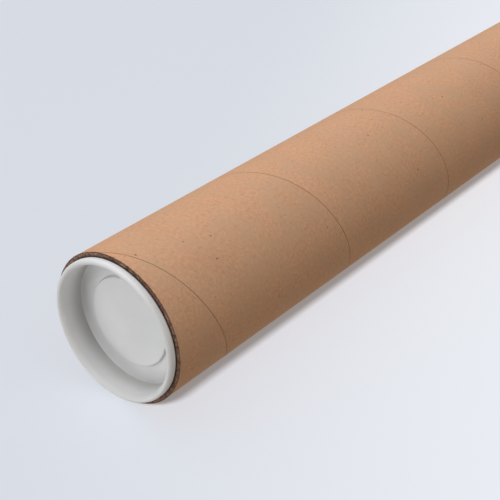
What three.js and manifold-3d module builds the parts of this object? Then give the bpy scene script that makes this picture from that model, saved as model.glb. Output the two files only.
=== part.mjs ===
// A drawing tube: a spiral-wound paperboard tube with a press-in plastic plug in each end.
// Millimetres, +Z up. The tube lies along Y on one flat side, and the origin is on the floor under its middle.
// The near plug is at -Y and the far plug at +Y.
import * as THREE from "three";
import { mergeVertices } from "three/addons/utils/BufferGeometryUtils.js";
import Module from "manifold-3d";

const wasm = await Module();
wasm.setup();

// Driving sizes of the tube.
const TUBE_RADIUS = 40;
const TUBE_LENGTH = 610;
const KRAFT_THICKNESS = 0.4; // the outer wrap and the inner liner
const BOARD_THICKNESS = 0.7; // each body ply
const BOARD_PLIES = 4;
const GLUE_LINE = 0.05; // between one ply and the next
const WINDING_PITCH = 104.5; // how far each strip advances along the tube in one turn
const BUTT_GAP = 0.3; // between the edges of neighbouring turns of one strip
const SEAM_START = THREE.MathUtils.degToRad(-16.2); // the outer seam at the near end, from the top towards +X
const SEAM_STAGGER = THREE.MathUtils.degToRad(64); // between the seam of one ply and that of the next

// Driving sizes of a plug. Depths are measured inwards from the front of its lip.
const LIP_RADIUS = 37.6;
const LIP_PROUD = 4.25; // how far the lip stands out of the tube's cut end
const LIP_ROUND = 0.6;
const LIP_FLAT_INNER = 36.2; // where the flat front of the lip turns into the recess
const PLUG_WALL = 1.7;
const RECESS_RADIUS = 34.5;
const RECESS_DRAFT = 0.2; // how much narrower the recess is at its floor
const MOUTH_DEPTH = 2.7; // of the rounding from the flat front into the recess
const FLOOR_DEPTH = 13.4;
const FLOOR_FILLET = 0.8;
const DISC_RADIUS = 24;
const DISC_DEPTH = 11.9; // of the raised disc's front face
const DISC_ROUND = 0.6;
const DISC_FLARE = 0.8; // how much wider the disc is at its foot
const SPIGOT_CLEARANCE = 0.2; // between the plug and the bore
const SPIGOT_CHAMFER = 0.8;
const SEAT_GAP = 0.05; // between the lip and the cut end

// Every round surface has this many flat sides, which touch the true circle from outside.
// One of them is centred underneath, so that the tube rests without rolling.
const FACETS = 30;
const FACET_ANGLE = (2 * Math.PI) / FACETS;
const ARC_STEPS = 3; // straight steps along each rounded edge of the plug's profile

const wallThickness = 2 * KRAFT_THICKNESS + BOARD_PLIES * BOARD_THICKNESS;
const boreRadius = TUBE_RADIUS - wallThickness;
const halfLength = TUBE_LENGTH / 2;

const kraft = new THREE.MeshStandardMaterial({ color: 0xbc9375, roughness: 0.85, metalness: 0 });
const board = new THREE.MeshStandardMaterial({ color: 0x6f5748, roughness: 0.95, metalness: 0 });
const whitePlastic = new THREE.MeshStandardMaterial({ color: 0xe6e6e4, roughness: 0.4, metalness: 0 });

// The distance from the axis to a facet's edge, for a surface of this radius.
function cornerRadius(radius) {
  return radius / Math.cos(FACET_ANGLE / 2);
}

// A closed geometry as a manifold-3d solid.
function solidFrom(geometry) {
  const bare = geometry.clone();
  bare.deleteAttribute("normal");
  bare.deleteAttribute("uv");
  const merged = mergeVertices(bare);
  const mesh = new wasm.Mesh({
    numProp: 3,
    vertProperties: merged.attributes.position.array,
    triVerts: new Uint32Array(merged.index.array),
  });
  return new wasm.Manifold(mesh);
}

// A manifold-3d solid as a flat-shaded geometry.
function geometryFrom(solid) {
  const mesh = solid.getMesh();
  const indexed = new THREE.BufferGeometry();
  indexed.setAttribute("position", new THREE.BufferAttribute(mesh.vertProperties, 3));
  indexed.setIndex(new THREE.BufferAttribute(mesh.triVerts, 1));
  const flat = indexed.toNonIndexed();
  flat.computeVertexNormals();
  return flat;
}

// A strip wound round the axis as a right-handed helix, running past both ends of the tube.
// Each facet edge that it crosses gets a ring of four corners: its two edges, inside and outside.
function woundStrip(innerRadius, outerRadius, seamAngle) {
  const rise = WINDING_PITCH / (2 * Math.PI);
  const firstCorner = Math.floor((seamAngle - 2 * Math.PI) / FACET_ANGLE) - 1;
  const lastCorner = Math.ceil((seamAngle + TUBE_LENGTH / rise) / FACET_ANGLE) + 1;
  const positions = [];
  for (let corner = firstCorner; corner <= lastCorner; corner++) {
    const angle = (corner + 0.5) * FACET_ANGLE;
    const nearEdge = -halfLength + rise * (angle - seamAngle) + BUTT_GAP / 2;
    const farEdge = nearEdge + WINDING_PITCH - BUTT_GAP;
    for (const [radius, y] of [
      [innerRadius, nearEdge],
      [outerRadius, nearEdge],
      [outerRadius, farEdge],
      [innerRadius, farEdge],
    ])
      positions.push(cornerRadius(radius) * Math.sin(angle), y, cornerRadius(radius) * Math.cos(angle));
  }
  const rings = lastCorner - firstCorner + 1;
  const triangles = [];
  for (let ring = 0; ring < rings - 1; ring++)
    for (let side = 0; side < 4; side++) {
      const here = 4 * ring + side;
      const beside = 4 * ring + ((side + 1) % 4);
      triangles.push(here, here + 4, beside, beside, here + 4, beside + 4);
    }
  const end = 4 * (rings - 1);
  triangles.push(0, 1, 2, 0, 2, 3);
  triangles.push(end, end + 2, end + 1, end, end + 3, end + 2);
  const geometry = new THREE.BufferGeometry();
  geometry.setAttribute("position", new THREE.BufferAttribute(new Float32Array(positions), 3));
  geometry.setIndex(triangles);
  return geometry;
}

// One ply: a wound strip, cut off square at both ends of the tube.
function ply(name, material, innerRadius, thickness, layer) {
  const strip = woundStrip(innerRadius, innerRadius + thickness, SEAM_START + layer * SEAM_STAGGER);
  const blank = new THREE.BoxGeometry(3 * TUBE_RADIUS, TUBE_LENGTH, 3 * TUBE_RADIUS);
  const mesh = new THREE.Mesh(geometryFrom(solidFrom(strip).intersect(solidFrom(blank))), material);
  mesh.name = name;
  mesh.position.z = TUBE_RADIUS;
  return mesh;
}

// The tube's plies from the outer wrap inwards. Each one's glue line is taken off its inner side.
function tubePlies() {
  const layers = [["outer_kraft_wrap", kraft, KRAFT_THICKNESS]];
  for (let number = 1; number <= BOARD_PLIES; number++)
    layers.push([`board_ply_${number}`, board, BOARD_THICKNESS]);
  layers.push(["inner_kraft_liner", kraft, KRAFT_THICKNESS]);
  let outerRadius = TUBE_RADIUS;
  return layers.map(([name, material, thickness], layer) => {
    const innerRadius = outerRadius - thickness;
    outerRadius = innerRadius;
    return ply(name, material, innerRadius + GLUE_LINE, thickness - GLUE_LINE, layer);
  });
}

// Half the plug's section, as radius against depth: out along its front, round the lip, and back behind it.
function plugProfile() {
  const recessFoot = RECESS_RADIUS - RECESS_DRAFT;
  const spigotRadius = boreRadius - SPIGOT_CLEARANCE;
  const spigotEnd = recessFoot + PLUG_WALL;
  const plugDepth = FLOOR_DEPTH + PLUG_WALL;
  const discFoot = DISC_RADIUS + DISC_FLARE;
  const seatDepth = LIP_PROUD - SEAT_GAP;
  const profile = new THREE.Path();
  profile.moveTo(0, DISC_DEPTH);
  profile.lineTo(DISC_RADIUS - DISC_ROUND, DISC_DEPTH);
  profile.quadraticCurveTo(DISC_RADIUS, DISC_DEPTH, DISC_RADIUS, DISC_DEPTH + DISC_ROUND);
  profile.lineTo(discFoot, FLOOR_DEPTH);
  profile.lineTo(recessFoot - FLOOR_FILLET, FLOOR_DEPTH);
  profile.quadraticCurveTo(recessFoot, FLOOR_DEPTH, recessFoot, FLOOR_DEPTH - FLOOR_FILLET);
  profile.lineTo(RECESS_RADIUS, MOUTH_DEPTH);
  profile.quadraticCurveTo(RECESS_RADIUS, 0, LIP_FLAT_INNER, 0);
  profile.lineTo(LIP_RADIUS - LIP_ROUND, 0);
  profile.quadraticCurveTo(LIP_RADIUS, 0, LIP_RADIUS, LIP_ROUND);
  profile.lineTo(LIP_RADIUS, seatDepth);
  profile.lineTo(spigotRadius, seatDepth);
  profile.lineTo(spigotEnd, plugDepth - SPIGOT_CHAMFER);
  profile.lineTo(spigotEnd - SPIGOT_CHAMFER, plugDepth);
  profile.lineTo(discFoot, plugDepth);
  profile.lineTo(DISC_RADIUS - PLUG_WALL, DISC_DEPTH + PLUG_WALL);
  profile.lineTo(0, DISC_DEPTH + PLUG_WALL);
  return profile.getPoints(ARC_STEPS).map((point) => new THREE.Vector2(cornerRadius(point.x), point.y));
}

// A plug at the near end, or turned about for the far end.
function plug(name, end) {
  const geometry = new THREE.LatheGeometry(plugProfile(), FACETS, FACET_ANGLE / 2);
  const mesh = new THREE.Mesh(geometry, whitePlastic);
  mesh.name = name;
  mesh.position.set(0, end * (halfLength + LIP_PROUD), TUBE_RADIUS);
  mesh.rotation.z = end > 0 ? Math.PI : 0;
  return mesh;
}

const drawingTube = new THREE.Group();
drawingTube.add(...tubePlies());
drawingTube.add(plug("near_end_plug", -1));
drawingTube.add(plug("far_end_plug", 1));

export default drawingTube;
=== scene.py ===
from math import ceil, cos, pi, radians, sin, tau

import bmesh
import bpy
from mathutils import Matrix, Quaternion, Vector


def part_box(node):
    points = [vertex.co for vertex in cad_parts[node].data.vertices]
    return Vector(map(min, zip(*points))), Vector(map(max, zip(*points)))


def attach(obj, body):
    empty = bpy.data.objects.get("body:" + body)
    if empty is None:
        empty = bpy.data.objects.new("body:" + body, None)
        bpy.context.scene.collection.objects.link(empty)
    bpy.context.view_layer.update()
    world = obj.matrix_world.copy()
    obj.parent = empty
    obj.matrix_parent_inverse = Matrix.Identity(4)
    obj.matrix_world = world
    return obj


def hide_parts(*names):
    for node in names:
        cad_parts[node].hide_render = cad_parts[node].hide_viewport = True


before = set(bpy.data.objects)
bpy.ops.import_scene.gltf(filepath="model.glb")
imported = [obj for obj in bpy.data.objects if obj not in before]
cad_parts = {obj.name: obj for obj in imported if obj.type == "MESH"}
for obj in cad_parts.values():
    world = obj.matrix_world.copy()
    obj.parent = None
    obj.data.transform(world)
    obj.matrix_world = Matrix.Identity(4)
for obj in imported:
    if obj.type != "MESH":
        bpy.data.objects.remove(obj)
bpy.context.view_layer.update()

MM = 0.001


# ---- The wound plies, from the wrap inwards ----------------------------------------------------
# Six paper strips, wound one over the other on a steel mandrel and glued, each as a right-handed
# spiral: a kraft wrap outside, four grey-brown chipboard plies, and a kraft liner. The turns of one
# strip meet edge to edge in a butt seam.

class Wire:
    """An output socket of a node tree. Arithmetic on wires adds Math nodes."""

    def __init__(self, tree, socket):
        self.tree = tree
        self.socket = socket

    def __add__(self, other):
        return self.tree.maths("ADD", self, other)

    def __radd__(self, other):
        return self.tree.maths("ADD", other, self)

    def __sub__(self, other):
        return self.tree.maths("SUBTRACT", self, other)

    def __rsub__(self, other):
        return self.tree.maths("SUBTRACT", other, self)

    def __mul__(self, other):
        return self.tree.maths("MULTIPLY", self, other)

    def __rmul__(self, other):
        return self.tree.maths("MULTIPLY", other, self)

    def __truediv__(self, other):
        return self.tree.maths("DIVIDE", self, other)

    def __rtruediv__(self, other):
        return self.tree.maths("DIVIDE", other, self)

    def __gt__(self, other):
        return self.tree.maths("GREATER_THAN", self, other)

    def __lt__(self, other):
        return self.tree.maths("LESS_THAN", self, other)

    def at_least(self, other):
        return self.tree.maths("MAXIMUM", self, other)

    def at_most(self, other):
        return self.tree.maths("MINIMUM", self, other)

    def fade(self, start, end):
        """0 where this wire is at start, 1 where it is at end, smooth between them."""
        return self.tree.add(
            "ShaderNodeMapRange",
            {"interpolation_type": "SMOOTHSTEP"},
            {"Value": self, "From Min": start, "From Max": end},
        )


class Tree:
    """A node tree under construction."""

    def __init__(self, nodes):
        self.nodes = nodes

    def add(self, kind, settings=None, sockets=None, output=None):
        """Adds a node: its type, its settings, then the values or wires of its sockets."""
        node = self.nodes.nodes.new(kind)
        for setting, value in (settings or {}).items():
            setattr(node, setting, value)
        for key, value in (sockets or {}).items():
            self.feed(self.find(node.inputs, key), value)
        return Wire(self, self.find(node.outputs, output))

    def find(self, sockets, key):
        if isinstance(key, int):
            return sockets[key]
        live = [socket for socket in sockets if socket.enabled]
        return next(socket for socket in live if key in (None, socket.name))

    def feed(self, socket, value):
        if isinstance(value, Wire):
            self.nodes.links.new(value.socket, socket)
        else:
            socket.default_value = value

    def maths(self, operation, *values):
        return self.add("ShaderNodeMath", {"operation": operation}, dict(enumerate(values)))

    def part(self, vector, letter):
        """One component of a vector."""
        return self.add("ShaderNodeSeparateXYZ", {}, {"Vector": vector}, letter)

    def vector(self, x, y, z):
        return self.add("ShaderNodeCombineXYZ", {}, {"X": x, "Y": y, "Z": z})


wrap_low, wrap_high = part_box("outer_kraft_wrap")
tube_radius = (wrap_high.z - wrap_low.z) / 2
tube_length = wrap_high.y - wrap_low.y
axis_height = (wrap_high.z + wrap_low.z) / 2
near_cut = wrap_low.y

WINDING_PITCH = 104.5 * MM  # how far a strip advances along the tube in one turn
SEAM_START = radians(-16.2)  # the wrap's seam at the near end, from the top towards +X
SEAM_STAGGER = radians(64)  # between the seam of one ply and that of the next
BUTT_GAP = 0.22 * MM
LIFTED_MARGIN = 1.6 * MM  # how far in from a strip's edge its paper lifts
FLARED_RIM = 1.0 * MM  # how far in from the cut end the saw has pushed the paper out
BOARD_PLIES = 4
KRAFT = 0.4 * MM
BOARD = 0.7 * MM
GLUE_LINE = 0.05 * MM  # left empty on the inner side of each ply
WELD = 0.002 * MM  # points of a strip closer than this are one
CUT_FACE = 0.01 * MM  # points this close to the cut end are on its face


def geometry_tree(name, inputs):
    """An empty Geometry Nodes tree with inputs of these kinds and names, and a wire for each of them."""
    group = bpy.data.node_groups.new(name, "GeometryNodeTree")
    for kind, labels in inputs.items():
        for label in labels:
            group.interface.new_socket(name=label, in_out="INPUT", socket_type=kind)
    group.interface.new_socket(name="Geometry", in_out="OUTPUT", socket_type="NodeSocketGeometry")
    tree = Tree(group)
    entry = group.nodes.new("NodeGroupInput")
    wires = {socket.name: Wire(tree, socket) for socket in entry.outputs if socket.name}
    return group, tree, wires


def finish_tree(tree, geometry, material):
    """Ends a tree with Realize Instances and Set Material."""
    real = tree.add("GeometryNodeRealizeInstances", {}, {"Geometry": geometry})
    painted = tree.add("GeometryNodeSetMaterial", {}, {"Geometry": real, "Material": material})
    leave = tree.nodes.nodes.new("NodeGroupOutput")
    tree.feed(leave.inputs["Geometry"], painted)


def mesh_from_tree(name, group, values):
    """Runs a Geometry Nodes tree with these input values, and returns its result as a plain object."""
    carrier = bpy.data.objects.new(name + "_tree", bpy.data.meshes.new(name + "_tree"))
    bpy.context.scene.collection.objects.link(carrier)
    modifier = carrier.modifiers.new(name, "NODES")
    modifier.node_group = group
    for item in group.interface.items_tree:
        if item.in_out == "INPUT":
            modifier[item.identifier] = values[item.name]
    evaluated = carrier.evaluated_get(bpy.context.evaluated_depsgraph_get())
    mesh = bpy.data.meshes.new_from_object(evaluated)
    bpy.data.objects.remove(carrier)
    mesh.name = name
    piece = bpy.data.objects.new(name, mesh)
    bpy.context.scene.collection.objects.link(piece)
    return piece


def thickened(tree, outside, thickness):
    """The surface with this much paper behind it, as one closed shell."""
    walls = tree.add("GeometryNodeExtrudeMesh", {"mode": "FACES"}, {
        "Mesh": outside, "Offset Scale": -1 * thickness, "Individual": False,
    }, "Mesh")
    walls = tree.add("GeometryNodeFlipFaces", {}, {"Mesh": walls})
    shell = tree.add("GeometryNodeJoinGeometry", {}, {"Geometry": outside})
    tree.nodes.links.new(walls.socket, shell.socket.node.inputs["Geometry"])
    return tree.add("GeometryNodeMergeByDistance", {}, {"Geometry": shell, "Distance": WELD})


def crumbled(tree, shell, roughness):
    """The shell with crumbs torn out of its two cut ends."""
    rims = tree.add("GeometryNodeInputNamedAttribute", {"data_type": "FLOAT_VECTOR"}, {"Name": "rims"})
    crumbs = tree.add("ShaderNodeTexNoise", {}, {"Scale": 900.0, "Detail": 3.0})
    place = tree.add("GeometryNodeInputPosition")
    inward = -1 * tree.maths("SIGN", tree.part(place, "Y"))
    at_cut = tree.part(rims, "Y") < CUT_FACE
    nudge = tree.vector(0.0, inward * crumbs * roughness * at_cut, 0.0)
    return tree.add("GeometryNodeSetPosition", {}, {"Geometry": shell, "Offset": nudge})


def marked(tree, mesh, attribute, value):
    """The mesh with a vector stored at each of its points."""
    store = {"data_type": "FLOAT_VECTOR", "domain": "POINT"}
    return tree.add("GeometryNodeStoreNamedAttribute", store, {
        "Geometry": mesh, "Name": attribute, "Value": value,
    })


def wound_strip_tree():
    """A strip wound round the axis.

    The attribute paper holds the place on the strip laid flat. The attribute rims holds the distance
    to the strip's edge and to the tube's cut end.
    """
    group, tree, given = geometry_tree("wound_strip", {
        "NodeSocketFloat": [
            "Outer Radius", "Thickness", "Axis Height", "Length", "Pitch", "Seam Angle", "Butt Gap",
            "Edge Lift", "Waviness", "Cut Roughness", "Cut Flare",
        ],
        "NodeSocketInt": ["Rings", "Columns"],
        "NodeSocketMaterial": ["Material"],
    })
    rise = given["Pitch"] / tau
    half = given["Length"] / 2

    # A flat grid: its first direction becomes the winding, and its second the strip's width.
    first_angle = given["Seam Angle"] - (given["Pitch"] - given["Butt Gap"] / 2) / rise
    swept = (given["Length"] + given["Pitch"] - given["Butt Gap"]) / rise
    grid = tree.add("GeometryNodeMeshGrid", {}, {
        "Size X": 1.0, "Size Y": 1.0, "Vertices X": given["Rings"], "Vertices Y": given["Columns"],
    })
    spot = tree.add("GeometryNodeInputPosition")
    angle = first_angle + (tree.part(spot, "X") + 0.5) * swept

    # Across the strip, columns stand closer together towards its edges. The cut ends trim it.
    near_edge = rise * (angle - given["Seam Angle"]) + given["Butt Gap"] / 2 - half
    far_edge = near_edge + given["Pitch"] - given["Butt Gap"]
    low = near_edge.at_least(-1 * half)
    high = far_edge.at_most(half)
    share = 0.5 - 0.5 * tree.maths("COSINE", (tree.part(spot, "Y") + 0.5) * pi)
    y = low + share * (high - low)
    edge = (y - near_edge).at_most(far_edge - y)
    cut = half - tree.maths("ABSOLUTE", y)

    # Laid flat, the strip runs along the winding.
    slope = tree.maths("ARCTANGENT", rise / given["Outer Radius"])
    ahead = tree.maths("COSINE", slope)
    aside = tree.maths("SINE", slope)
    around = angle * given["Outer Radius"]
    paper = tree.vector(around * ahead + y * aside, y * ahead - around * aside, 0.0)

    # The paper waves a little, lifts at its edges and flares at the cut ends.
    waves = tree.add("ShaderNodeTexNoise", {}, {"Vector": paper, "Scale": 28.0, "Detail": 2.0})
    frayed = tree.add("ShaderNodeTexNoise", {}, {"Vector": paper, "Scale": 700.0, "Detail": 2.0})
    lift = given["Edge Lift"] * edge.fade(LIFTED_MARGIN, 0.0)
    flare = given["Cut Flare"] * frayed * cut.fade(FLARED_RIM, 0.0)
    radius = given["Outer Radius"] + lift + flare + given["Waviness"] * (waves - 0.5)
    wound = tree.vector(
        radius * tree.maths("SINE", angle),
        y,
        given["Axis Height"] + radius * tree.maths("COSINE", angle),
    )
    flat = marked(tree, grid, "paper", paper)
    flat = marked(tree, flat, "rims", tree.vector(edge, cut, 0.0))
    outside = tree.add("GeometryNodeSetPosition", {}, {"Geometry": flat, "Position": wound})
    shell = thickened(tree, outside, given["Thickness"])
    finish_tree(tree, crumbled(tree, shell, given["Cut Roughness"]), given["Material"])
    return group


PLY_CREASE = radians(40)


def smooth(piece, angle):
    """Smooth shading, with a crease along every edge sharper than the angle."""
    piece.data.shade_smooth()
    piece.data.set_sharp_from_angle(angle=angle)


wound_strip = wound_strip_tree()
WRAP_CUT = (0.5 * MM, 0.2 * MM)
PLY_CUT = (0.45 * MM, 0.0)


def wind(node, outer_radius, thickness, layer, material, steps, columns, lift=0.0, cut=PLY_CUT):
    """Winds one ply at its layer, counted inwards from the wrap, in place of its CAD node.

    Its mesh has this many steps in a turn, and this many columns across the strip. Its edges lift by
    this much, and its cut end has this roughness and flare.
    """
    turns = (tube_length + WINDING_PITCH) / WINDING_PITCH
    roughness, flare = cut
    piece = mesh_from_tree(node + "_strip", wound_strip, {
        "Outer Radius": outer_radius,
        "Thickness": thickness - GLUE_LINE,
        "Axis Height": axis_height,
        "Length": tube_length,
        "Pitch": WINDING_PITCH,
        "Seam Angle": SEAM_START + layer * SEAM_STAGGER,
        "Butt Gap": BUTT_GAP,
        "Edge Lift": lift,
        "Waviness": lift,
        "Cut Roughness": roughness,
        "Cut Flare": flare,
        "Rings": ceil(turns * steps),
        "Columns": columns,
        "Material": material,
    })
    smooth(piece, PLY_CREASE)
    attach(piece, "tube")
    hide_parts(node)
    return piece


def surface_tree(name):
    """A new material with its tree and its Principled shader."""
    material = bpy.data.materials.new(name)
    material.use_nodes = True
    shader = material.node_tree.nodes["Principled BSDF"]
    return material, Tree(material.node_tree), shader


def feed_shader(tree, shader, sockets):
    """Puts a value or a wire into each of these sockets of the shader."""
    for key, value in sockets.items():
        tree.feed(shader.inputs[key], value)


def noise(tree, place, size, detail, rough):
    """Soft noise, 0 to 1, with features about this size in metres."""
    return tree.add("ShaderNodeTexNoise", {}, {
        "Vector": place, "Scale": 1 / size, "Detail": detail, "Roughness": rough,
    })


def stretched(tree, place, along):
    """The place with its first direction scaled, for features longer one way than the other."""
    scale = (along, 1.0, 1.0)
    return tree.add("ShaderNodeVectorMath", {"operation": "MULTIPLY"}, {0: place, 1: scale})


def turned_place(tree, place, angle):
    """The place turned in the plane of the paper, so that fibres lie at an angle."""
    turn = {"rotation_type": "Z_AXIS"}
    return tree.add("ShaderNodeVectorRotate", turn, {"Vector": place, "Angle": angle})


def blend(tree, factor, first, second):
    """A mix of two colours: the first where the factor is 0, the second where it is 1."""
    colours = {"data_type": "RGBA"}
    return tree.add("ShaderNodeMix", colours, {"Factor": factor, "A": first, "B": second})


def bumps(tree, height, strength, distance):
    """A normal roughened by this height."""
    return tree.add("ShaderNodeBump", {}, {"Height": height, "Strength": strength, "Distance": distance})


def from_axis(tree, place):
    """How far the place is from the tube's axis."""
    across = tree.vector(tree.part(place, "X"), 0.0, tree.part(place, "Z") - axis_height)
    return tree.add("ShaderNodeVectorMath", {"operation": "LENGTH"}, {0: across}, "Value")


def specks(tree, place, spacing, size, share):
    """Scattered round specks: one in each cell of this spacing, kept in this share of the cells."""
    cell = {"Vector": place, "Scale": 1 / spacing}
    distance = tree.add("ShaderNodeTexVoronoi", {}, cell, "Distance")
    lot = tree.add("ShaderNodeTexVoronoi", {}, cell, "Color")
    chosen = tree.add("ShaderNodeSeparateColor", {}, {"Color": lot}, "Red") < share
    width = tree.add("ShaderNodeSeparateColor", {}, {"Color": lot}, "Green") * (size / spacing)
    return chosen * (distance / width.at_least(0.01)).fade(1.0, 0.6)


FIBRE_SPACING = 1.0 * MM
FIBRE_WIDTH = 0.42 * MM
DARK_FIBRE = (0.25, 0.13, 0.075, 1)
PALE_FIBRE = (0.8, 0.57, 0.4, 1)


def fibres(tree, place, angle, share):
    """Short straight fibres lying at an angle, one in each cell, kept in this share of the cells."""
    lying = stretched(tree, turned_place(tree, place, angle), 0.3)
    return specks(tree, lying, FIBRE_SPACING, FIBRE_WIDTH, share)


def fibrous(tree, paper, colour):
    """The colour with a few darker and paler fibres, which cross each other."""
    dark = fibres(tree, paper, 0.3, 0.2).at_least(fibres(tree, paper, 1.9, 0.2))
    pale = fibres(tree, paper, -0.5, 0.14).at_least(fibres(tree, paper, 1.2, 0.14))
    colour = blend(tree, 0.3 * dark, colour, DARK_FIBRE)
    return blend(tree, 0.1 * pale, colour, PALE_FIBRE)


CLOUD_SIZE = 22 * MM
OLIVE_SIZE = 14 * MM
MOTTLE_SIZE = 2.0 * MM
FLECK_SPACING = 5.5 * MM
FLECK_SIZE = 0.65 * MM
FLECK = (0.1, 0.05, 0.03, 1)
SEAM_SHADE = 0.35 * MM  # how wide the dirt lies along a seam
FRAY_REACH = 1.8 * MM  # how far the dirt at the cut end strays either way
MATT_GLOSS = 0.2


def kraft_material(name, colours):
    """Brown kraft: clouds, olive patches, crossing fibres and dark flecks, dirty at seams and cut ends."""
    material, tree, shader = surface_tree(name)
    paper = tree.add("ShaderNodeAttribute", {"attribute_name": "paper"}, {}, "Vector")
    rims = tree.add("ShaderNodeAttribute", {"attribute_name": "rims"}, {}, "Vector")
    clouds = noise(tree, paper, CLOUD_SIZE, 2.0, 0.5)
    mottle = noise(tree, paper, MOTTLE_SIZE, 3.0, 0.65)
    pulp = noise(tree, stretched(tree, paper, 0.5), 0.5 * MM, 3.0, 0.7)
    cross_pulp = noise(tree, stretched(tree, turned_place(tree, paper, 1.1), 0.3), 0.4 * MM, 2.0, 0.7)
    tone = 0.1 * clouds + 0.4 * mottle + 0.25 * pulp + 0.25 * cross_pulp
    colour = blend(tree, tone.fade(0.36, 0.64), colours["dark"], colours["light"])

    patches = noise(tree, stretched(tree, paper, 0.7), OLIVE_SIZE, 3.0, 0.6)
    colour = blend(tree, 0.5 * patches.fade(0.42, 0.6), colour, colours["olive"])
    colour = fibrous(tree, paper, colour)
    flecks = specks(tree, stretched(tree, paper, 0.7), FLECK_SPACING, FLECK_SIZE, 0.45)
    colour = blend(tree, 0.75 * flecks, colour, FLECK)

    seam = tree.part(rims, "X").fade(SEAM_SHADE, 0.0) * (0.3 + 0.5 * clouds)
    colour = blend(tree, 0.5 * seam, colour, colours["soiled"])
    fray = tree.part(rims, "Y") + (mottle - 0.5) * FRAY_REACH
    colour = blend(tree, 0.85 * fray.fade(0.5 * MM, 0.05 * MM), colour, colours["soiled"])

    height = 0.4 * pulp + 0.4 * cross_pulp + 0.2 * mottle
    feed_shader(tree, shader, {
        "Base Color": colour,
        "Roughness": 0.92 - 0.16 * tone,
        "Normal": bumps(tree, height, 0.35, 0.1 * MM),
        "Specular IOR Level": MATT_GLOSS,
    })
    return material


BOARD_DARK = (0.09, 0.058, 0.044, 1)
BOARD_PALE = (0.5, 0.32, 0.225, 1)
BOARD_RED = (0.27, 0.12, 0.1, 1)
BOARD_SHADE = (0.03, 0.02, 0.017, 1)
SHADE_REACH = (38.9 * MM, 38.3 * MM)  # radii between which the cut darkens, inwards, beside the lip


def board_material():
    """Recycled chipboard: dull, dark and blotched, with reddish fibres where the saw has torn it, and
    painted shade where the cut meets the lip.
    """
    material, tree, shader = surface_tree("tube_board")
    place = tree.add("ShaderNodeTexCoord", {}, {}, "Object")
    grain = noise(tree, place, 0.5 * MM, 4.0, 0.7)
    lumps = noise(tree, place, 1.8 * MM, 2.0, 0.5)
    reds = noise(tree, place, 2.5 * MM, 2.0, 0.5)
    tone = 0.6 * grain + 0.4 * lumps
    colour = blend(tree, tone.fade(0.4, 0.62), BOARD_DARK, BOARD_PALE)
    colour = blend(tree, 0.6 * reds.fade(0.5, 0.62), colour, BOARD_RED)
    # Painted shade: the cut face darkens towards the lip, where the lip's shadow falls on it.
    shade = (from_axis(tree, place) + 0.8 * MM * grain).fade(*SHADE_REACH)
    colour = blend(tree, 0.75 * shade, colour, BOARD_SHADE)
    feed_shader(tree, shader, {
        "Base Color": colour,
        "Roughness": 0.95,
        "Normal": bumps(tree, grain, 0.9, 0.3 * MM),
        "Specular IOR Level": MATT_GLOSS,
    })
    return material


kraft_outside = kraft_material("kraft_wrap", {
    "light": (0.635, 0.353, 0.206, 1),
    "dark": (0.49, 0.27, 0.153, 1),
    "olive": (0.515, 0.318, 0.192, 1),
    "soiled": (0.12, 0.062, 0.042, 1),
})
kraft_inside = kraft_material("kraft_liner", {
    "light": (0.46, 0.29, 0.19, 1),
    "dark": (0.35, 0.21, 0.13, 1),
    "olive": (0.4, 0.26, 0.17, 1),
    "soiled": (0.1, 0.055, 0.038, 1),
})
chipboard = board_material()

ply_radius = tube_radius
wrap = wind("outer_kraft_wrap", ply_radius, KRAFT, 0, kraft_outside, 256, 26, 0.05 * MM, WRAP_CUT)
ply_radius -= KRAFT
for layer in range(1, BOARD_PLIES + 1):
    board = wind(f"board_ply_{layer}", ply_radius, BOARD, layer, chipboard, 256, 6)
    ply_radius -= BOARD
liner = wind("inner_kraft_liner", ply_radius, KRAFT, BOARD_PLIES + 1, kraft_inside, 144, 12)
bore_radius = ply_radius - KRAFT


# ---- Torn fibres on the two cut ends -----------------------------------------------------------
# The tube is sawn to length, which leaves the paper at both ends dark, rough and furry. Each fibre
# is a short bent hair of paper that stands out of the cut face.

LEAN = 1.2  # the most that a hair leans, in radians


def fibre_tree():
    """Bent hairs scattered over the ring of the cut face, leaning any way but mostly outwards."""
    group, tree, given = geometry_tree("torn_fibres", {
        "NodeSocketFloat": [
            "Inner Radius", "Outer Radius", "Axis Height", "Cut Y", "Outward", "Hair Length", "Hair Radius",
        ],
        "NodeSocketInt": ["Count", "Seed"],
        "NodeSocketMaterial": ["Material"],
    })

    def lot(low, high, step):
        return tree.add("FunctionNodeRandomValue", {"data_type": "FLOAT"}, {
            "Min": low, "Max": high, "Seed": given["Seed"] + step,
        })

    line = tree.add("GeometryNodeCurvePrimitiveBezierSegment", {}, {
        "Resolution": 4,
        "Start": (0.0, 0.0, -0.2),
        "Start Handle": (0.0, 0.0, 0.2),
        "End Handle": (0.25, 0.0, 0.6),
        "End": (0.55, 0.1, 0.9),
    })
    ring = tree.add("GeometryNodeCurvePrimitiveCircle", {"mode": "RADIUS"}, {
        "Resolution": 3, "Radius": given["Hair Radius"] / given["Hair Length"],
    })
    hair = tree.add("GeometryNodeCurveToMesh", {}, {
        "Curve": line, "Profile Curve": ring, "Fill Caps": True,
    })
    turn = lot(0.0, tau, 1)
    radius = lot(given["Inner Radius"], given["Outer Radius"], 2)
    spot = tree.vector(
        radius * tree.maths("SINE", turn),
        given["Cut Y"],
        given["Axis Height"] + radius * tree.maths("COSINE", turn),
    )
    points = tree.add("GeometryNodePoints", {}, {"Count": given["Count"], "Position": spot})
    upright = given["Outward"] * (-pi / 2)
    lean = tree.vector(upright + lot(-LEAN, LEAN, 3), lot(-LEAN, LEAN, 4), lot(-pi, pi, 5))
    hairs = tree.add("GeometryNodeInstanceOnPoints", {}, {
        "Points": points,
        "Instance": hair,
        "Rotation": tree.add("FunctionNodeEulerToRotation", {}, {"Euler": lean}),
        "Scale": given["Hair Length"] * lot(0.35, 1.0, 6),
    })
    finish_tree(tree, hairs, given["Material"])
    return group


HAIR_DARK = (0.12, 0.07, 0.05, 1)
HAIR_PALE = (0.5, 0.31, 0.21, 1)


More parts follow.
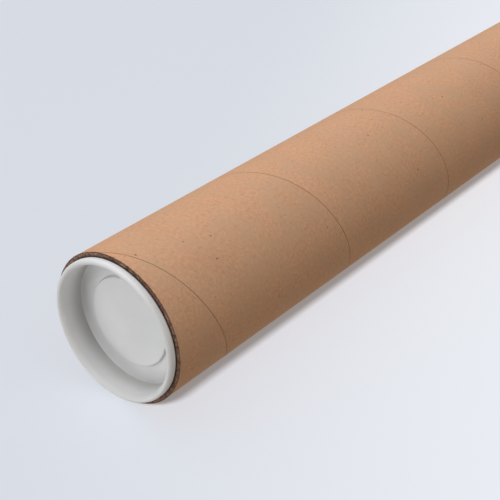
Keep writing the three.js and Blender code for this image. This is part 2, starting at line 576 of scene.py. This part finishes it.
def fibre_material():
    """Loose paper hairs, from dark board to clean kraft."""
    material, tree, shader = surface_tree("torn_fibre")
    place = tree.add("ShaderNodeTexCoord", {}, {}, "Object")
    tone = noise(tree, place, 1.2 * MM, 2.0, 0.6)
    feed_shader(tree, shader, {
        "Base Color": blend(tree, tone.fade(0.4, 0.6), HAIR_DARK, HAIR_PALE),
        "Roughness": 0.95,
        "Specular IOR Level": MATT_GLOSS,
    })
    return material


torn_fibre = fibre_material()
torn_fibres = fibre_tree()
FIBRES_PER_END = 2600
FIBRE_SEED = 40
ROOT_DEPTH = 0.2 * MM  # how far behind the cut face the hairs start
for end, outward in (("near", -1), ("far", 1)):
    fuzz = mesh_from_tree(f"{end}_cut_fibres", torn_fibres, {
        "Inner Radius": bore_radius,
        "Outer Radius": tube_radius + 0.1 * MM,
        "Axis Height": axis_height,
        "Cut Y": outward * (tube_length / 2 - ROOT_DEPTH),
        "Outward": outward,
        "Hair Length": 0.7 * MM,
        "Hair Radius": 0.04 * MM,
        "Count": FIBRES_PER_END,
        "Seed": FIBRE_SEED + outward,
        "Material": torn_fibre,
    })
    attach(fuzz, "tube")


# ---- The two end plugs -------------------------------------------------------------------------
# White polyethylene, injection moulded in one piece: a lip that stops against the cut end, a drafted
# wall that grips the bore, a ring floor, and a raised disc. One is pushed into each end by hand.

def arc(centre, reach, start, end, steps):
    """Points on a rounding in the plug's section, from one angle in degrees to another."""
    across, deep = reach
    angles = [radians(start + (end - start) * step / steps) for step in range(steps + 1)]
    return [(centre[0] + across * cos(a), centre[1] + deep * sin(a)) for a in angles]


# The plug's section in millimetres: radii from the axis, and depths behind the lip's front.
SKIN = 1.6
DISC_FACE = 11.9
RING_FLOOR = 13.4
RECESS_WALL = 34.4
ROLL_CROWN = 36.4
LIP_OUTER = 37.75
LIP_SEAT = 4.2
SPIGOT = 36.1


def plug_section():
    """The section from the middle of the disc out along the front, then back behind to the middle."""
    disc_back = DISC_FACE + SKIN
    ring_back = RING_FLOOR + SKIN
    section = [(0.0, DISC_FACE), (6.0, DISC_FACE), (14.0, DISC_FACE), (20.0, DISC_FACE)]
    section += arc((23.2, DISC_FACE + 0.8), (0.8, 0.8), -90, -10, 8)
    section += arc((24.7, RING_FLOOR - 0.6), (0.6, 0.6), 170, 90, 6)
    section += [(28.0, RING_FLOOR), (31.0, RING_FLOOR)]
    section += arc((33.85, RING_FLOOR - 0.4), (0.4, 0.4), 90, 2, 6)
    section += [(RECESS_WALL - 0.1, 10.5), (RECESS_WALL - 0.05, 7.5), (RECESS_WALL, 5.2)]
    section += arc((ROLL_CROWN, 3.2), (ROLL_CROWN - RECESS_WALL, 3.2), 180, 270, 18)
    section += arc((ROLL_CROWN, 1.5), (LIP_OUTER - ROLL_CROWN, 1.5), -84, 0, 11)
    section += [(LIP_OUTER, 3.4), (37.6, 4.0), (37.2, LIP_SEAT)]
    section += [(SPIGOT + 0.15, LIP_SEAT), (SPIGOT + 0.1, 5.2), (SPIGOT + 0.05, 8.0), (SPIGOT, 11.5)]
    section += arc((SPIGOT - 1.3, ring_back - 1.3), (1.3, 1.3), 0, 90, 8)
    section += [(30.0, ring_back), (26.0, ring_back)]
    section += arc((24.2, ring_back - 0.7), (0.7, 0.7), 90, 175, 4)
    section += arc((22.0, disc_back + 0.7), (0.7, 0.7), 0, -90, 4)
    section += [(14.0, disc_back), (0.0, disc_back)]
    return section


def turned(name, section, steps, end):
    """The section turned about the tube's axis. The profile starts and ends on the axis."""
    shape = bmesh.new()
    front = end * (tube_length / 2 + lip_proud)
    rows = []
    for radius, depth in section:
        y = front - end * depth * MM
        if radius == 0:
            rows.append([shape.verts.new((0, y, axis_height))])
            continue
        around = [tau * step / steps for step in range(steps)]
        reach = radius * MM
        rows.append([shape.verts.new((reach * sin(a), y, axis_height + reach * cos(a))) for a in around])
    for row, following in zip(rows, rows[1:]):
        for step in range(steps):
            after = (step + 1) % steps
            corners = [row[step % len(row)], following[step % len(following)]]
            corners += [following[after % len(following)], row[after % len(row)]]
            shape.faces.new(list(dict.fromkeys(corners)))
    bmesh.ops.recalc_face_normals(shape, faces=shape.faces)
    mesh = bpy.data.meshes.new(name)
    shape.to_mesh(mesh)
    shape.free()
    piece = bpy.data.objects.new(name, mesh)
    bpy.context.scene.collection.objects.link(piece)
    return piece


PLASTIC_DULL = (0.73, 0.73, 0.73, 1)
PLASTIC_CLEAN = (0.76, 0.76, 0.76, 1)
# Painted shade: a grey laid on the recess wall, deepening behind the lip's front.
PLASTIC_SHADED = (0.38, 0.375, 0.365, 1)
SHADE_STARTS = 4 * MM  # behind the lip's front
SHADE_FULL = 13.5 * MM


def plastic_material():
    """White polyethylene with a faint mould texture and fine rub marks, with painted shade deep down its
    recess wall.
    """
    material, tree, shader = surface_tree("white_plastic")
    place = tree.add("ShaderNodeTexCoord", {}, {}, "Object")
    bloom = noise(tree, place, 14 * MM, 3.0, 0.5)
    grain = noise(tree, place, 0.5 * MM, 3.0, 0.6)
    rubs = noise(tree, stretched(tree, place, 6.0), 3 * MM, 4.0, 0.7)
    colour = blend(tree, bloom.fade(0.35, 0.7), PLASTIC_DULL, PLASTIC_CLEAN)

    radius = from_axis(tree, place)
    depth = tube_length / 2 + lip_proud - tree.maths("ABSOLUTE", tree.part(place, "Y"))
    # Painted shade: the colour darkens down the recess wall towards its foot, where the wall lies in shade.
    wall = radius.fade(33.8 * MM, 34.2 * MM) * radius.fade(35.4 * MM, 34.8 * MM)
    recess_shade = wall * depth.fade(SHADE_STARTS, SHADE_FULL)
    colour = blend(tree, 0.62 * recess_shade, colour, PLASTIC_SHADED)
    feed_shader(tree, shader, {
        "Base Color": colour,
        "Roughness": 0.42 + 0.14 * rubs,
        "Normal": bumps(tree, grain, 0.12, 0.05 * MM),
        "Specular IOR Level": 0.4,
    })
    return material


near_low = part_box("near_end_plug")[0]
lip_proud = near_cut - near_low.y
white_plastic = plastic_material()
PLUG_STEPS = 256
PLUG_CREASE = radians(50)
for name, end in (("near", -1), ("far", 1)):
    plug = turned(f"{name}_plug_moulding", plug_section(), PLUG_STEPS, end)
    plug.data.materials.append(white_plastic)
    smooth(plug, PLUG_CREASE)
    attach(plug, f"{name}_plug")
    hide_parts(f"{name}_end_plug")


# ---- The studio --------------------------------------------------------------------------------
# The tube lies on a pale floor in a pale room. Soft distant lights stand in for the room's light on
# the tube, and the floor has two lights of its own, so that it neither lights nor shades the tube.

FLOOR_HALF = 60.0
FLOOR_DROP = 0.0001  # below the tube's underside
# Painted light: the floor's colour is darker to the left and brighter to the far right.
FLOOR_SHADED_LEFT = (0.575, 0.605, 0.67, 1)
FLOOR_LIT_RIGHT = (0.73, 0.756, 0.807, 1)


def floor_material():
    """Pale and a little blue, with painted light that brightens it towards the far right, and a faint glow
    of its own.
    """
    material, tree, shader = surface_tree("pale_floor")
    place = tree.add("ShaderNodeTexCoord", {}, {}, "Object")
    # Painted light: the colour blends from the darker left to the brighter far right, in place of light
    # falling off across the floor.
    across = tree.part(place, "X") + 0.5 * tree.part(place, "Y")
    feed_shader(tree, shader, {
        "Base Color": blend(tree, across.fade(-0.21, 0.09), FLOOR_SHADED_LEFT, FLOOR_LIT_RIGHT),
        "Roughness": 0.8,
        "Specular IOR Level": 0.1,
        "Emission Color": (0.92, 0.96, 1.0, 1),
        "Emission Strength": 0.2,
    })
    return material


floor_mesh = bpy.data.meshes.new("floor")
floor_corners = [(-1, -1), (1, -1), (1, 1), (-1, 1)]
floor_points = [(FLOOR_HALF * x, FLOOR_HALF * y, -FLOOR_DROP) for x, y in floor_corners]
floor_mesh.from_pydata(floor_points, [], [(0, 1, 2, 3)])
floor = bpy.data.objects.new("floor", floor_mesh)
floor.data.materials.append(floor_material())
floor.visible_diffuse = False
floor.visible_shadow = False
bpy.context.scene.collection.objects.link(floor)


def place_light(name, spread, source, strength, tint, state):
    """Puts up a distant light that shines from the source's direction.

    INCLUDE as its state makes it light the floor only, and EXCLUDE all but the floor.
    """
    lamp = bpy.data.lights.new(name, "SUN")
    lamp.angle = spread
    lamp.energy = strength
    lamp.color = tint
    holder = bpy.data.objects.new(name, lamp)
    holder.rotation_euler = Vector(source).to_track_quat("Z", "Y").to_euler()
    bpy.context.scene.collection.objects.link(holder)
    lit = bpy.data.collections.new(name + "_lit")
    lit.objects.link(floor)
    lit.collection_objects[0].light_linking.link_state = state
    holder.light_linking.receiver_collection = lit


SOFT = radians(40)
NEUTRAL = (1.0, 1.0, 1.0)
COOL = (0.97, 1.0, 1.1)
WARM = (1.04, 0.95, 0.84)
place_light("top_light", SOFT, (0.0, 0.0, 1.0), 2.0, NEUTRAL, "EXCLUDE")
place_light("back_light", SOFT, (-0.45, 0.6, 0.66), 1.1, COOL, "EXCLUDE")
place_light("front_light", SOFT, (-0.37, -0.78, 0.71), 1.12, NEUTRAL, "EXCLUDE")
place_light("side_light", SOFT, (0.6, -0.8, 0.0), 0.5, NEUTRAL, "EXCLUDE")
place_light("left_bounce", SOFT, (-0.5, -0.7, -0.5), 1.08, NEUTRAL, "EXCLUDE")
place_light("right_bounce", SOFT, (0.8, -0.07, -0.4), 0.9, WARM, "EXCLUDE")
place_light("floor_light", radians(9), (0.488, -1.0, 1.0), 3.08, NEUTRAL, "INCLUDE")
place_light("floor_glow", radians(150), (0.0, 0.0, 1.0), 0.66, NEUTRAL, "INCLUDE")

# The room is a pale backdrop only. It adds no light to the tube.
room = bpy.data.worlds.new("pale_room")
room.use_nodes = True
backdrop = room.node_tree.nodes["Background"]
backdrop.inputs["Color"].default_value = (0.79, 0.82, 0.87, 1)
backdrop.inputs["Strength"].default_value = 1.0
bpy.context.scene.world = room
room.cycles_visibility.diffuse = False
room.cycles_visibility.glossy = False
bpy.context.scene.view_settings.view_transform = "Standard"

# The camera looks down on the near end. Its place is in tube radii from the middle of the lip's front.
CAMERA_EYE = (7.786, -7.406, 7.941)
CAMERA_AIM = (0.073, 2.526, 0.0)
CAMERA_ROLL = radians(2.02)
CAMERA_LENS = 80.72
lip_front = Vector((0, near_low.y, axis_height))
eye = lip_front + tube_radius * Vector(CAMERA_EYE)
aim = lip_front + tube_radius * Vector(CAMERA_AIM)
camera_data = bpy.data.cameras.new("camera")
camera_data.lens = CAMERA_LENS
camera = bpy.data.objects.new("camera", camera_data)
camera.location = eye
camera.rotation_mode = "QUATERNION"
camera.rotation_quaternion = (aim - eye).to_track_quat("-Z", "Y") @ Quaternion((0, 0, 1), CAMERA_ROLL)
bpy.context.scene.collection.objects.link(camera)
bpy.context.scene.camera = camera
